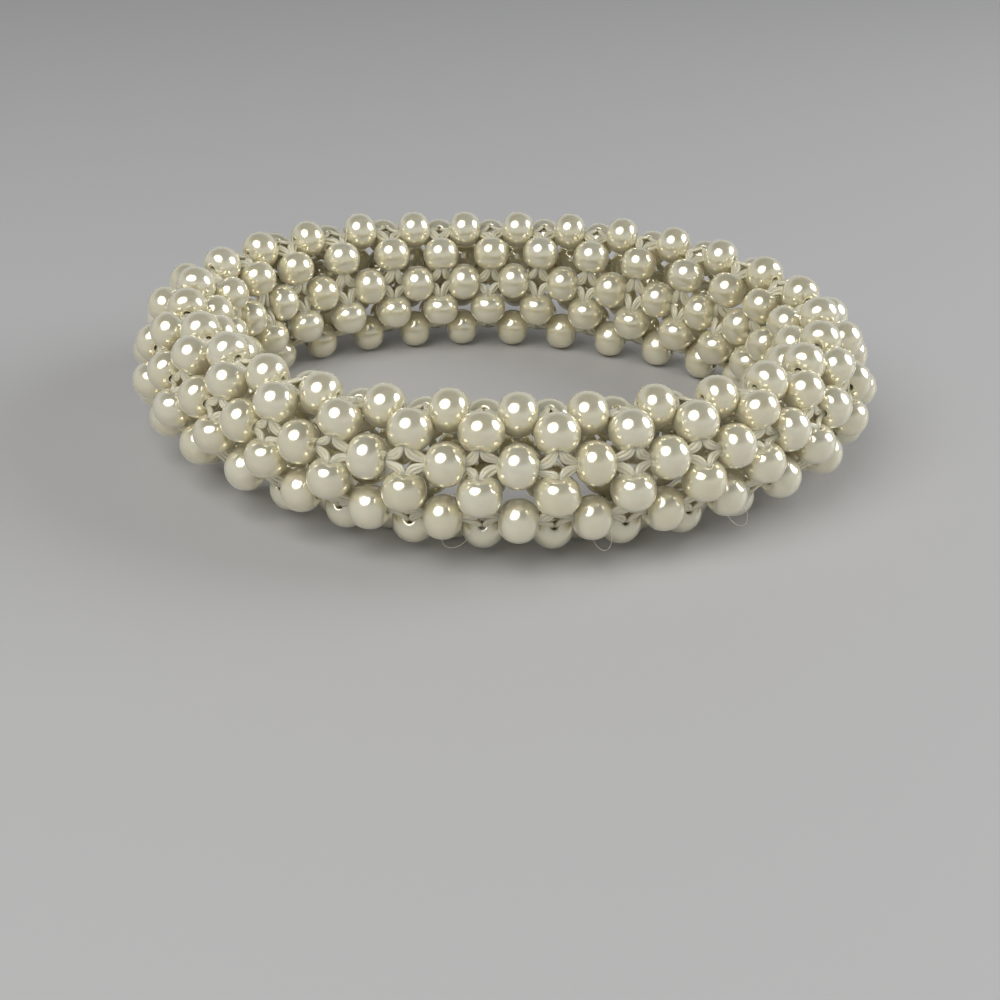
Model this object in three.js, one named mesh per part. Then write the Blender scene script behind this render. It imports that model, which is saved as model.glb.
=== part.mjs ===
// Pearl bracelet: a hollow tube of pearls in right-angle weave, closed into an oval loop.
// Millimetres, +Z up. It lies on its side on the floor at z = 0, and the hand goes in along Z.
import * as THREE from 'three';

// Pearls, which are a little shorter along their hole than across it, and thread
const pearlDiameter = 5.6;
const pearlLength = 4.9;
const threadDiameter = 0.5;

// The oval through the middles of the top row's pearls
const ovalWidth = 90;
const ovalDepth = 68;
// How much wider the back half of the oval is, as a share of the width
const ovalSkew = 0.048;

// Pearls of one row, once round the oval
const pearlsPerRow = 29;

// The rows at the five corners of the tube's section at the front: how far out they lie from the top row,
// away from the middle of the oval, and how high. Towards the back they move in and drop evenly, in all by
// the inset and the drop. The pearls of these rows are drilled along the loop.
const cornerRows = [
  { name: 'row_top', outset: 0, height: 0, inset: 0, drop: 0 },
  { name: 'row_outer_upper', outset: 5.1, height: -4.45, inset: 0.9, drop: 1.95 },
  { name: 'row_outer_lower', outset: 4.95, height: -11.7, inset: 0.4, drop: 0.9 },
  { name: 'row_inner_lower', outset: -2.95, height: -16.25, inset: 0, drop: 0 },
  { name: 'row_inner_upper', outset: -4.6, height: -7.4, inset: 0, drop: 0 },
];

// Between two corners sits one pearl that is drilled around the tube. It bulges out of the line between
// them by this much.
const sideBulge = 1.2;

// A row's thread dips into the tube, to pass under the threads around the tube with this much room.
const threadClearance = 0.35;

// A pearl has a ring of full width at its middle and a narrower one towards each end of its hole, this far
// along the hole and this far out, as shares of half its length and of its radius.
const pearlSides = 10;
const shoulderSides = 5;
const shoulderPlace = 0.58;
const shoulderReach = 0.88;
const threadSides = 3;

const pearlMaterial = new THREE.MeshStandardMaterial({ color: 0xe6e1cb, roughness: 0.22, metalness: 0 });

const pearlRadius = pearlDiameter / 2;
const pearlReach = pearlLength / 2;
const up = new THREE.Vector3(0, 0, 1);

// The oval, run once round from the front (-Y) by way of +X
class Oval extends THREE.Curve {
  getPoint(t, target = new THREE.Vector3()) {
    const angle = 2 * Math.PI * t - Math.PI / 2;
    const skew = 1 + ovalSkew * Math.sin(angle);
    return target.set((ovalWidth / 2) * Math.cos(angle) * skew, (ovalDepth / 2) * Math.sin(angle), 0);
  }

  getTangent(t, target = new THREE.Vector3()) {
    const angle = 2 * Math.PI * t - Math.PI / 2;
    const run = -Math.sin(angle) + ovalSkew * Math.cos(2 * angle);
    return target.set((ovalWidth / 2) * run, (ovalDepth / 2) * Math.cos(angle), 0).normalize();
  }
}

const oval = new Oval();
oval.arcLengthDivisions = 2000;

// A section across the tube has its point on the oval, the way along the loop, the way out of it and its
// flat corners, in order round the tube
function sectionFrom(point, along, corners) {
  return { point, along, out: new THREE.Vector3().crossVectors(along, up), corners };
}

// The section through a pearl of each row
function sectionAt(index) {
  const share = ((index + 0.5) % pearlsPerRow) / pearlsPerRow;
  const backness = (1 - Math.cos(2 * Math.PI * oval.getUtoTmapping(share))) / 2;
  const corners = cornerRows.map((row) => {
    return new THREE.Vector2(row.outset - backness * row.inset, row.height - backness * row.drop);
  });
  return sectionFrom(oval.getPointAt(share), oval.getTangentAt(share), corners);
}

// The section half-way from there to the rows' next pearls
function sectionAfter(index) {
  const here = sectionAt(index);
  const next = sectionAt(index + 1);
  const point = here.point.clone().lerp(next.point, 0.5);
  const corners = here.corners.map((corner, i) => corner.clone().lerp(next.corners[i], 0.5));
  return sectionFrom(point, here.along.clone().add(next.along).normalize(), corners);
}

// A flat vector of the section (x out, y up) as a direction in space
function inSpace(section, flat) {
  return section.out.clone().multiplyScalar(flat.x).addScaledVector(up, flat.y);
}

// The pearl between each corner and the next, with the way of its hole and the way out of the tube
function sidePearls(corners) {
  return corners.map((corner, i) => {
    const next = corners[(i + 1) % corners.length];
    const way = next.clone().sub(corner).normalize();
    const outwards = new THREE.Vector2(-way.y, way.x);
    const place = corner.clone().lerp(next, 0.5).addScaledVector(outwards, sideBulge);
    return { place, way, outwards };
  });
}

// How far a corner row's thread lies inside its pearls' middles, to clear the thread around the corner
function threadDip(corners, i) {
  const sides = sidePearls(corners);
  const before = sides[(i + corners.length - 1) % corners.length];
  const after = sides[i];
  const leaves = before.place.clone().addScaledVector(before.way, pearlReach);
  const enters = after.place.clone().addScaledVector(after.way, -pearlReach);
  const sectionMiddle = new THREE.Vector2();
  corners.forEach((corner) => sectionMiddle.addScaledVector(corner, 1 / corners.length));
  const inwards = sectionMiddle.sub(corners[i]).normalize();
  const crossing = leaves.lerp(enters, 0.5).sub(corners[i]).dot(inwards);
  return inwards.multiplyScalar(crossing + threadDiameter + threadClearance);
}

// Adds a ring of vertices around a line and returns their numbers
function addRing(vertices, middle, axis, side, radius, count) {
  const across = new THREE.Vector3().crossVectors(axis, side);
  const numbers = [];
  for (let i = 0; i < count; i += 1) {
    const angle = (2 * Math.PI * i) / count;
    const vertex = middle.clone().addScaledVector(side, radius * Math.cos(angle));
    vertex.addScaledVector(across, radius * Math.sin(angle));
    numbers.push(vertices.length);
    vertices.push(vertex);
  }
  return numbers;
}

// Joins two rings, whose counts may differ, with a band of triangles
function joinRings(faces, near, far) {
  let i = 0;
  let j = 0;
  while (i < near.length || j < far.length) {
    const a = near[i % near.length];
    const b = far[j % far.length];
    if (i < near.length && (i + 1) * far.length <= (j + 1) * near.length) {
      i += 1;
      faces.push(a, near[i % near.length], b);
    } else {
      j += 1;
      faces.push(a, far[j % far.length], b);
    }
  }
}

// A closed string of pearls and the thread between them, as one body. Each pearl has its middle, the axis
// of its hole, a side at right angles to that, and the dip of its thread off the axis.
function closedString(pearls) {
  const vertices = [];
  const rings = [];
  for (const { middle, axis, side, dip } of pearls) {
    const place = (distance) => middle.clone().addScaledVector(axis, distance);
    const thread = (distance) => {
      return addRing(vertices, place(distance).add(dip), axis, side, threadDiameter / 2, threadSides);
    };
    const shoulder = (distance) => {
      return addRing(vertices, place(distance), axis, side, pearlRadius * shoulderReach, shoulderSides);
    };
    const end = pearlReach * Math.sqrt(1 - dip.lengthSq() / pearlRadius ** 2);
    rings.push(thread(-end));
    rings.push(shoulder(-pearlReach * shoulderPlace));
    rings.push(addRing(vertices, middle, axis, side, pearlRadius, pearlSides));
    rings.push(shoulder(pearlReach * shoulderPlace));
    rings.push(thread(end));
  }
  const faces = [];
  rings.forEach((ring, i) => joinRings(faces, ring, rings[(i + 1) % rings.length]));
  const geometry = new THREE.BufferGeometry().setFromPoints(vertices);
  geometry.setIndex(faces);
  geometry.computeVertexNormals();
  return new THREE.Mesh(geometry, pearlMaterial);
}

// One corner row: pearls strung along the loop
function cornerRow(i) {
  const pearls = [];
  for (let index = 0; index < pearlsPerRow; index += 1) {
    const section = sectionAt(index);
    pearls.push({
      middle: section.point.clone().add(inSpace(section, section.corners[i])),
      axis: section.along,
      side: up,
      dip: inSpace(section, threadDip(section.corners, i)),
    });
  }
  return closedString(pearls);
}

// One round: pearls strung around the tube, between two neighbours of every row
function roundOfPearls(index) {
  const section = sectionAfter(index);
  const straight = new THREE.Vector3();
  return closedString(sidePearls(section.corners).map(({ place, way, outwards }) => ({
    middle: section.point.clone().add(inSpace(section, place)),
    axis: inSpace(section, way),
    side: inSpace(section, outwards),
    dip: straight,
  })));
}

const bracelet = new THREE.Group();
cornerRows.forEach(({ name }, i) => {
  const mesh = cornerRow(i);
  mesh.name = name;
  bracelet.add(mesh);
});
for (let index = 0; index < pearlsPerRow; index += 1) {
  const mesh = roundOfPearls(index);
  mesh.name = `round_${String(index + 1).padStart(2, '0')}`;
  bracelet.add(mesh);
}

// The origin is on the floor, under the middle of the bracelet
const box = new THREE.Box3().setFromObject(bracelet);
const middle = box.getCenter(new THREE.Vector3());
bracelet.position.set(-middle.x, -middle.y, -box.min.z);

export default bracelet;
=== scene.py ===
# Pearl bracelet: the looks of the woven tube of pearls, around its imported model. Metres, +Z up.
import math

import bpy
import numpy as np
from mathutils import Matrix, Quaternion, Vector


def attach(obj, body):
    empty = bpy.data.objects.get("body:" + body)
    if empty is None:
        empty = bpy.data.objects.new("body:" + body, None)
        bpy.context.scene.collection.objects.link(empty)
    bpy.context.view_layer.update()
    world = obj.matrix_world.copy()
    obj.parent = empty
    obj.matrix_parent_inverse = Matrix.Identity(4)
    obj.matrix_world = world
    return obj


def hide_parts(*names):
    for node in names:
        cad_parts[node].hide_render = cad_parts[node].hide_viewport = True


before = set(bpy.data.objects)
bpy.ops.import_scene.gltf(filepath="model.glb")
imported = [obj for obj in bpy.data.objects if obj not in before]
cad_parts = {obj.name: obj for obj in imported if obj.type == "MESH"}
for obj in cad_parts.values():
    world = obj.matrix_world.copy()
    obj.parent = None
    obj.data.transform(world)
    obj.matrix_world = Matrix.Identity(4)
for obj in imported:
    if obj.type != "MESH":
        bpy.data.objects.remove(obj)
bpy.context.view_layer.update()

# Pearls are round, but for flattened ends where they are drilled. The higher the flatness, the smaller the
# part of each end that is flattened.
PEARL = 0.0057
PEARL_LENGTH = 0.0050
END_FLATNESS = 5
HOLE = 0.0010
THREAD = 0.0006

# The wall of a hole, from its depth outwards: how far in from the mouth and how wide. The lip is where the
# round outside starts. All are in radii of the hole.
HOLE_WALL = ((2.2, 0.9), (0.5, 0.96), (0.12, 1.08))
HOLE_LIP = 1.3

# The oval through the middles of the top row's pearls, and how much wider its back half is
OVAL_WIDTH = 0.090
OVAL_DEPTH = 0.068
OVAL_SKEW = 0.048
OVAL_STEPS = 4000
PEARLS_PER_ROW = 29

# The rows at the corners of the tube's section, as seen from the top row: out and up, at the front of the
# oval and at its back. The section changes evenly between them.
CORNER_ROWS = (
    ("row_top", (0.0, 0.0), (0.0, 0.0)),
    ("row_outer_upper", (0.0051, -0.00445), (0.0042, -0.0064)),
    ("row_outer_lower", (0.00495, -0.0117), (0.00455, -0.0126)),
    ("row_inner_lower", (-0.00295, -0.01625), (-0.00295, -0.01625)),
    ("row_inner_upper", (-0.0046, -0.0074), (-0.0046, -0.0074)),
)
# How far the pearl between two corners bulges out of the line between them, and how far it is raised
SIDE_BULGE = 0.0012
SIDE_LIFT = 0.00025

# How far the weave is out of true: slow waves of the whole tube, which come later the higher up they are,
# and each pearl by itself
WAVE = 0.00016
WAVE_COUNTS = (3, 5, 8)
WAVE_LAG = 2.0
LOOSENESS = 0.0001
LEAN = 0.06
PEARL_SIZES = (0.985, 1.015)
SEED = 29

# How fast a pearl's freedom to rise and to lean grows with its height, as a share of the tube's height, and
# how much of its lean is left on the floor
RISE_FREEDOM = 1.5
LEAN_FREEDOM = 2
LEAN_ON_FLOOR = 0.2

# How deep in the hole a strand starts and how far off its axis, and how far each strand of a turn runs on
# out of the hole, as a share of the way to the middle of the crossing
THREAD_DEPTH = 0.0005
THREAD_START = 0.0002
THREAD_PULLS = (0.82, 0.58, 0.30)

# How far the first strands of a turn keep from the middle line of the row and from that of the round, and
# how much further each next strand keeps, as a share
ROW_SPLIT = 0.00045
ROUND_SPLIT = 0.0004
THREAD_FAN = 0.5

# How far out of the tube a strand is pulled at a crossing, which is inwards if below zero, how much further
# out every second one is, and how far each one strays, all in threads
THREAD_RISE = -0.5
THREAD_STAGGER = 0.3
THREAD_LOOSENESS = 0.08

# Loose loops of fine thread below the lower outer row: the pearl they start at, how wide they are, how
# far they hang down and how far they lean
STRAY_LOOPS = ((28, 0.0036, 0.0026, -0.0006), (1, 0.0024, 0.0030, 0.0010), (3, 0.0026, 0.0028, 0.0016))
STRAY_THICKNESS = 0.00006

# A loop starts this far below its pearl's middle, in pearls, and ends this far back and up from its start.
# It swings out to the front, and is pulled down by no more than this share of its start's height.
STRAY_START = 0.4
STRAY_END = (0.0008, 0.0003)
STRAY_SWING = 0.0012
STRAY_DEEPEST = 1.2

# How finely pearls, threads and loose loops are meshed
PEARL_SEGMENTS = 40
PEARL_BANDS = 20
THREAD_SIDES = 7
THREAD_STEPS = 8
STRAY_STEPS = 24

# Colours: pearls from the warmest to the palest, their clouds, the thread and the floor
PEARL_TONES = ((0.84, 0.78, 0.57, 1), (0.91, 0.87, 0.71, 1))
PEARL_CLOUDS = (0.85, 0.795, 0.60, 1)
THREAD_COLOUR = (0.76, 0.71, 0.53, 1)
FLOOR_COLOUR = (0.53, 0.525, 0.525, 1)

# How fine the pearls' clouds and the grain of pearls and thread are: how many go into a metre
CLOUDS_SCALE = 260
PEARL_GRAIN_SCALE = 2600
THREAD_GRAIN_SCALE = 5200

# The camera's place
CAMERA_AT = (0.01066, -0.192, 0.09864)
CAMERA_LOOKS_AT = (0.00245, -0.0389, 0.0103)
CAMERA_ROLL = math.radians(1.7)
CAMERA_LENS = 52.3

# Round softboxes, all at one distance from their aim: the way there, half the angle that each fills as
# seen from the aim, its brightness and its colour
LIGHTS_AIM = (0.0, 0.0, 0.01)
LIGHTS_DISTANCE = 0.6
SOFTBOXES = (
    ("key", (-0.34, -0.50, 0.80), 24, 3.2, (1, 0.99, 0.97)),
    ("side", (0.864, 0.18, 0.48), 18, 4.8, (0.98, 0.99, 1)),
)

# How bright the room is towards the horizon and overhead, and the heights between which it changes, as
# sines of the angle above the horizon
ROOM_SIDES = 0.48
ROOM_TOP = 0.06
ROOM_CHANGES = (0.35, 0.85)
ROOM_COLOUR = (0.95, 0.97, 1.0, 1)

FLOOR_REACH = 3.0

random = np.random.default_rng(SEED)
UP = np.array([0.0, 0.0, 1.0])
RIGHT = np.array([1.0, 0.0, 0.0])


def unit(vector):
    return vector / np.linalg.norm(vector)


def oval_samples():
    """The oval's angle, and its length up to there as a share, from the front by way of +X."""
    angle = np.linspace(-math.pi / 2, 1.5 * math.pi, OVAL_STEPS + 1)
    skew = 1 + OVAL_SKEW * np.sin(angle)
    x = OVAL_WIDTH / 2 * np.cos(angle) * skew
    y = OVAL_DEPTH / 2 * np.sin(angle)
    length = np.concatenate([[0], np.cumsum(np.hypot(np.diff(x), np.diff(y)))])
    return angle, length / length[-1]


OVAL_ANGLE, OVAL_SHARE = oval_samples()


def section_at(index):
    """Through a pearl of each row: the point on the oval, the way along it and the section's corners."""
    angle = np.interp((index + 0.5) / PEARLS_PER_ROW % 1, OVAL_SHARE, OVAL_ANGLE)
    skew = 1 + OVAL_SKEW * math.sin(angle)
    point = np.array([OVAL_WIDTH / 2 * math.cos(angle) * skew, OVAL_DEPTH / 2 * math.sin(angle), 0.0])
    run = -math.sin(angle) + OVAL_SKEW * math.cos(2 * angle)
    along = unit(np.array([OVAL_WIDTH / 2 * run, OVAL_DEPTH / 2 * math.cos(angle), 0.0]))
    backness = (1 + math.sin(angle)) / 2
    corners = []
    for _, front, back in CORNER_ROWS:
        corners.append((1 - backness) * np.array(front) + backness * np.array(back))
    return point, along, corners


def section_after(index):
    """Half-way from there to the rows' next pearls."""
    here, along, corners = section_at(index)
    there, along_there, corners_there = section_at(index + 1)
    between = [(corner + next_corner) / 2 for corner, next_corner in zip(corners, corners_there)]
    return (here + there) / 2, unit(along + along_there), between


def in_space(along, flat):
    """A flat vector of the section, out and up, as a direction in space."""
    return np.cross(along, UP) * flat[0] + UP * flat[1]


def side_pearl(corners, i):
    """The pearl between corner i and the next, in the section: its place and the way of its hole."""
    start = corners[i]
    end = corners[(i + 1) % len(corners)]
    way = unit(end - start)
    return (start + end) / 2 + SIDE_BULGE * np.array([-way[1], way[0]]), way


def place_pearls():
    """The middle and the hole's axis of every pearl, by its string's name."""
    strings = {}
    sections = [section_at(index) for index in range(PEARLS_PER_ROW)]
    for i, (name, _, _) in enumerate(CORNER_ROWS):
        strings[name] = [(point + in_space(along, corners[i]), along) for point, along, corners in sections]
    for index in range(PEARLS_PER_ROW):
        point, along, corners = section_after(index)
        pearls = [side_pearl(corners, i) for i in range(len(corners))]
        strings[f"round_{index + 1:02d}"] = [
            (point + in_space(along, place), in_space(along, way)) for place, way in pearls
        ]
    return strings


def packed_shift(strings):
    """From the oval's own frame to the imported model's, whose pearls have the same places."""
    middles = np.array([middle for pearls in strings.values() for middle, _ in pearls])
    axes = np.array([axis for pearls in strings.values() for _, axis in pearls])
    across = PEARL / 2
    along = PEARL_LENGTH / 2
    reach = np.sqrt(across**2 + (along**2 - across**2) * axes**2)
    low = (middles - reach).min(axis=0)
    high = (middles + reach).max(axis=0)
    return np.array([-(low[0] + high[0]) / 2, -(low[1] + high[1]) / 2, -low[2]])


def settle(strings):
    """Lets the weave wander a little, the less the nearer it is to the floor."""
    shift = packed_shift(strings)
    phases = random.uniform(0, 2 * math.pi, (len(WAVE_COUNTS), 3))
    sizes = WAVE / np.sqrt(np.arange(1, len(WAVE_COUNTS) + 1))
    top = max(middle[2] for pearls in strings.values() for middle, _ in pearls) + shift[2]
    settled = {}
    for name, pearls in strings.items():
        lift = SIDE_LIFT if name.startswith("round") else 0
        settled[name] = []
        for middle, axis in pearls:
            place = middle + shift
            around = math.atan2(place[1], place[0])
            height = (place[2] - PEARL / 2) / (top - PEARL / 2)
            move = random.normal(0, LOOSENESS, 3)
            for count, size, phase in zip(WAVE_COUNTS, sizes, phases):
                move += size * np.sin(count * around + phase + WAVE_LAG * height)
            move[2] = move[2] * min(1.0, RISE_FREEDOM * height) + lift
            lean = random.normal(0, LEAN, 3) * min(1.0, LEAN_ON_FLOOR + LEAN_FREEDOM * height)
            place = place + move
            place[2] = max(place[2], PEARL / 2 * PEARL_SIZES[1])
            settled[name].append((place, unit(axis + lean - axis * np.dot(lean, axis))))
    return settled


def pearl_profile():
    """Distance along the hole and radius, from inside one end of the hole to inside the other."""
    hole = HOLE / 2
    radius = PEARL / 2
    lip = math.asin(HOLE_LIP * hole / radius)
    angles = np.linspace(lip, math.pi - lip, PEARL_BANDS + 1)
    flattening = (PEARL - PEARL_LENGTH) / 2
    along = -radius * np.cos(angles) + flattening * np.cos(angles) ** END_FLATNESS
    outside = list(zip(along, radius * np.sin(angles)))
    mouth = along[-1]
    wall = [(depth * hole - mouth, width * hole) for depth, width in HOLE_WALL]
    return wall + outside + [(-place, width) for place, width in reversed(wall)]


PROFILE = np.array(pearl_profile())


def side_of(axis):
    """A direction at right angles to an axis."""
    upright = abs(axis[2]) >= 0.9
    return unit(np.cross(axis, RIGHT if upright else UP))


def swept(count, sides):
    """Faces between one ring and the next, as quads of vertex numbers."""
    around = np.arange(sides)
    first = np.arange(count - 1)[:, None] * sides
    a = first + around
    b = first + (around + 1) % sides
    return np.stack([a, a + sides, b + sides, b], axis=-1).reshape(-1, 4)


def joined(parts):
    """The vertices and faces of several meshes as those of one."""
    vertices = []
    faces = []
    count = 0
    for part_vertices, part_faces in parts:
        vertices.append(part_vertices)
        faces.append(part_faces + count)
        count += len(part_vertices)
    return np.concatenate(vertices), np.concatenate(faces)


def mesh_object(name, vertices, faces, material):
    mesh = bpy.data.meshes.new(name)
    mesh.from_pydata(vertices.tolist(), [], faces.tolist())
    mesh.polygons.foreach_set("use_smooth", [True] * len(mesh.polygons))
    mesh.materials.append(material)
    mesh.update()
    piece = bpy.data.objects.new(name, mesh)
    bpy.context.scene.collection.objects.link(piece)
    return piece


def pearl_vertices(middle, axis):
    side = side_of(axis)
    across = np.cross(axis, side)
    angles = np.linspace(0, 2 * math.pi, PEARL_SEGMENTS, endpoint=False) + random.uniform(0, 1)
    circle = np.cos(angles)[:, None] * side + np.sin(angles)[:, None] * across
    size_along, size_across = random.uniform(*PEARL_SIZES, 2)
    along = PROFILE[:, :1, None] * axis * size_along
    return (middle + along + PROFILE[:, 1:, None] * circle[None] * size_across).reshape(-1, 3)


def make_pearls(name, pearls, material):
    """The pearls of one string as one mesh, each with a tone of its own."""
    pearl_faces = swept(len(PROFILE), PEARL_SEGMENTS)
    vertices, faces = joined([(pearl_vertices(middle, axis), pearl_faces) for middle, axis in pearls])
    piece = mesh_object(f"{name}_pearls", vertices, faces, material)
    tones = random.uniform(0, 1, len(pearls))
    tone = piece.data.attributes.new("tone", "FLOAT", "POINT")
    tone.data.foreach_set("value", np.repeat(tones, len(PROFILE) * PEARL_SEGMENTS))
    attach(piece, "root")
    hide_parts(name)


def bezier(start, start_pull, end_pull, end, steps):
    t = np.linspace(0, 1, steps)[:, None]
    s = 1 - t
    return s**3 * start + 3 * s * s * t * start_pull + 3 * s * t * t * end_pull + t**3 * end


def tube(points, radius):
    """Vertices and faces of a strand along points."""
    ways = np.gradient(points, axis=0)
    side = side_of(unit(ways[0]))
    angles = np.linspace(0, 2 * math.pi, THREAD_SIDES, endpoint=False)[:, None]
    rings = []
    for point, way in zip(points, ways):
        way = unit(way)
        side = unit(side - way * np.dot(side, way))
        across = np.cross(way, side)
        rings.append(point + radius * (np.cos(angles) * side + np.sin(angles) * across))
    return np.concatenate(rings), swept(len(points), THREAD_SIDES)


def make_strands(name, strands, thickness, material):
    """Strands of one thickness as one mesh."""
    vertices, faces = joined([tube(strand, thickness / 2) for strand in strands])
    piece = mesh_object(name, vertices, faces, material)
    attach(piece, "root")


def crossing_strands(strings, corner, index):
    """The strands that turn from pearl to pearl where a row and a round cross, a few for each turn."""
    row = strings[CORNER_ROWS[corner][0]]
    around = strings[f"round_{index + 1:02d}"]
    next_in_row = row[(index + 1) % PEARLS_PER_ROW]
    ends = [(row[index], 1), (around[corner - 1], 1), (next_in_row, -1), (around[corner], -1)]
    reach = PEARL_LENGTH / 2 - THREAD_DEPTH
    holes = [(pearl + sign * axis * reach, sign * axis) for (pearl, axis), sign in ends]
    middle = sum(place for place, _ in holes) / len(holes)
    tube_middle = sum(pearl for pearl, _ in around) / len(around)
    outwards = unit(middle - tube_middle)
    strands = []
    for i, (place, out) in enumerate(holes):
        other, other_out = holes[(i + 1) % len(holes)]
        half = np.linalg.norm(place - middle)
        other_half = np.linalg.norm(other - middle)
        split, other_split = (ROW_SPLIT, ROUND_SPLIT) if i % 2 == 0 else (ROUND_SPLIT, ROW_SPLIT)
        start = place - other_out * THREAD_START
        end = other - out * THREAD_START
        for turn, pull in enumerate(THREAD_PULLS):
            wide = 1 + THREAD_FAN * turn
            rise = THREAD_RISE + THREAD_STAGGER * (turn % 2)
            move = outwards * THREAD * rise + random.normal(0, THREAD * THREAD_LOOSENESS, 3)
            start_pull = place - other_out * split * wide + out * half * pull + move
            end_pull = other - out * other_split * wide + other_out * other_half * pull + move
            strands.append(bezier(start, start_pull, end_pull, end, THREAD_STEPS))
    return strands


def make_thread(strings, material):
    strands = []
    for corner in range(len(CORNER_ROWS)):
        for index in range(PEARLS_PER_ROW):
            strands += crossing_strands(strings, corner, index)
    make_strands("thread", strands, THREAD, material)


def make_stray_loops(strings, material):
    """Fine loose loops of thread that hang out below the lower outer row in front."""
    loops = []
    for index, width, drop, lean in STRAY_LOOPS:
        pearl, _ = strings["row_outer_lower"][index]
        start = pearl - UP * PEARL * STRAY_START
        end = start + np.array([width, *STRAY_END])
        down = min(drop, start[2] * STRAY_DEEPEST)
        pull = np.array([lean, -STRAY_SWING, -down])
        loops.append(bezier(start, start + pull, end + pull, end, STRAY_STEPS))
    make_strands("stray_thread", loops, STRAY_THICKNESS, material)


def principled(name, values):
    """A new material and its shader, with the shader's inputs set to the values."""
    material = bpy.data.materials.new(name)
    material.use_nodes = True
    shader = material.node_tree.nodes["Principled BSDF"]
    for socket, value in values.items():
        shader.inputs[socket].default_value = value
    return material, shader


def add_noise(material, scale):
    """A noise that is fixed to the object."""
    nodes = material.node_tree.nodes
    place = nodes.new("ShaderNodeTexCoord")
    noise = nodes.new("ShaderNodeTexNoise")
    noise.inputs["Scale"].default_value = scale
    material.node_tree.links.new(place.outputs["Object"], noise.inputs["Vector"])
    return noise


def add_grain(material, shader, scale, strength, distance):
    """Fine relief all over a material."""
    links = material.node_tree.links
    grain = add_noise(material, scale)
    bump = material.node_tree.nodes.new("ShaderNodeBump")
    bump.inputs["Strength"].default_value = strength
    bump.inputs["Distance"].default_value = distance
    links.new(grain.outputs["Fac"], bump.inputs["Height"])
    links.new(bump.outputs["Normal"], shader.inputs["Normal"])


def pearl_material():
    material, shader = principled("pearl", {
        "Metallic": 0.5,
        "Roughness": 0.17,
        "IOR": 1.8,
        "Subsurface Weight": 0.6,
        "Subsurface Radius": (1.0, 0.8, 0.5),
        "Subsurface Scale": 0.0022,
        "Coat Weight": 1.0,
        "Coat Roughness": 0.03,
        "Coat IOR": 1.6,
        "Sheen Weight": 0.9,
        "Sheen Roughness": 0.22,
        "Sheen Tint": (1.0, 0.98, 0.78, 1),
    })
    nodes = material.node_tree.nodes
    links = material.node_tree.links
    tone = nodes.new("ShaderNodeAttribute")
    tone.attribute_name = "tone"
    tones = nodes.new("ShaderNodeValToRGB")
    for element, colour in zip(tones.color_ramp.elements, PEARL_TONES):
        element.color = colour
    links.new(tone.outputs["Fac"], tones.inputs["Fac"])
    clouds = add_noise(material, CLOUDS_SCALE)
    clouds.inputs["Detail"].default_value = 3
    clouded = nodes.new("ShaderNodeMix")
    clouded.data_type = "RGBA"
    clouded.inputs["B"].default_value = PEARL_CLOUDS
    links.new(clouds.outputs["Fac"], clouded.inputs["Factor"])
    links.new(tones.outputs["Color"], clouded.inputs["A"])
    links.new(clouded.outputs["Result"], shader.inputs["Base Color"])
    add_grain(material, shader, PEARL_GRAIN_SCALE, strength=0.04, distance=0.00003)
    return material


def thread_material():
    material, shader = principled("thread", {
        "Base Color": THREAD_COLOUR,
        "Roughness": 0.25,
        "Subsurface Weight": 0.3,
        "Subsurface Radius": (0.0006, 0.0005, 0.0004),
        "Subsurface Scale": 1.0,
        "Coat Weight": 0.8,
        "Coat Roughness": 0.08,
    })
    add_grain(material, shader, THREAD_GRAIN_SCALE, strength=0.25, distance=0.00004)
    return material


def make_floor():
    corners = np.array([(-1, -1, 0), (1, -1, 0), (1, 1, 0), (-1, 1, 0)]) * FLOOR_REACH
    material, _ = principled("floor", {"Base Color": FLOOR_COLOUR, "Roughness": 0.55})
    floor = mesh_object("floor", corners, np.array([[0, 1, 2, 3]]), material)


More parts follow.
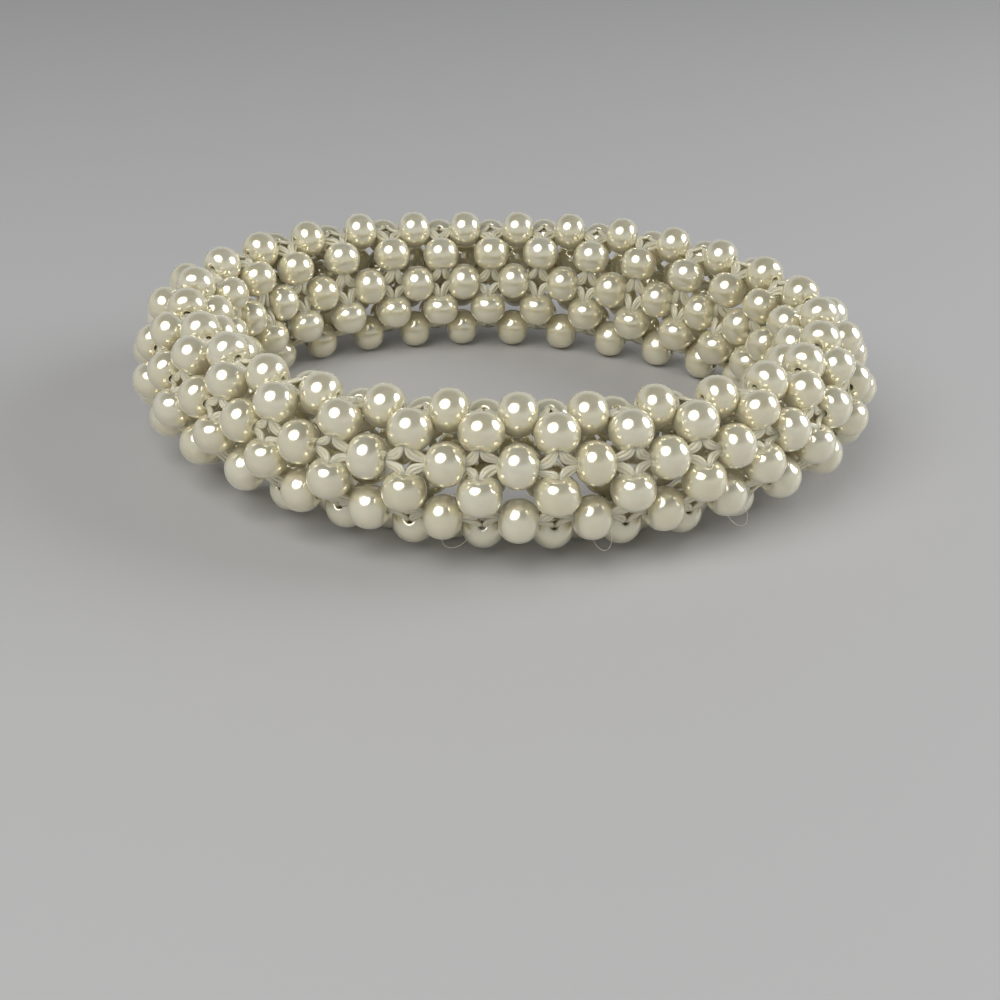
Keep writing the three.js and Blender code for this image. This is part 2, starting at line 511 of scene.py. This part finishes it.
def make_softbox(name, way, half_angle, radiance, colour):
    radius = LIGHTS_DISTANCE * math.tan(math.radians(half_angle))
    light = bpy.data.lights.new(name, "AREA")
    light.shape = "DISK"
    light.size = 2 * radius
    light.energy = radiance * math.pi**2 * radius**2
    light.color = colour
    lamp = bpy.data.objects.new(name, light)
    bpy.context.scene.collection.objects.link(lamp)
    lamp.location = Vector(LIGHTS_AIM) + Vector(way).normalized() * LIGHTS_DISTANCE
    lamp.rotation_mode = "QUATERNION"
    lamp.rotation_quaternion = Vector(way).to_track_quat("Z", "Y")
    lamp.visible_camera = False


def make_world():
    """A dim room: dark overhead, paler towards the horizon."""
    world = bpy.data.worlds.new("world")
    world.use_nodes = True
    nodes = world.node_tree.nodes
    links = world.node_tree.links
    way = nodes.new("ShaderNodeTexCoord")
    apart = nodes.new("ShaderNodeSeparateXYZ")
    links.new(way.outputs["Generated"], apart.inputs["Vector"])
    ramp = nodes.new("ShaderNodeMapRange")
    ramp.interpolation_type = "SMOOTHSTEP"
    ramp.inputs["From Min"].default_value = ROOM_CHANGES[0]
    ramp.inputs["From Max"].default_value = ROOM_CHANGES[1]
    ramp.inputs["To Min"].default_value = ROOM_SIDES
    ramp.inputs["To Max"].default_value = ROOM_TOP
    links.new(apart.outputs["Z"], ramp.inputs["Value"])
    room = nodes["Background"]
    room.inputs["Color"].default_value = ROOM_COLOUR
    links.new(ramp.outputs["Result"], room.inputs["Strength"])
    bpy.context.scene.world = world


def make_camera():
    data = bpy.data.cameras.new("camera")
    data.lens = CAMERA_LENS
    data.sensor_width = 36
    data.clip_start = 0.001
    camera = bpy.data.objects.new("camera", data)
    bpy.context.scene.collection.objects.link(camera)
    camera.location = CAMERA_AT
    camera.rotation_mode = "QUATERNION"
    look = (Vector(CAMERA_LOOKS_AT) - Vector(CAMERA_AT)).to_track_quat("-Z", "Y")
    camera.rotation_quaternion = look @ Quaternion((0, 0, 1), CAMERA_ROLL)
    bpy.context.scene.camera = camera


make_camera()
make_floor()
for softbox in SOFTBOXES:
    make_softbox(*softbox)
make_world()
bpy.context.scene.view_settings.view_transform = "Standard"

pearl_strings = settle(place_pearls())
pearl_look = pearl_material()
for string_name, string_pearls in pearl_strings.items():
    make_pearls(string_name, string_pearls, pearl_look)
thread_look = thread_material()
make_thread(pearl_strings, thread_look)
make_stray_loops(pearl_strings, thread_look)
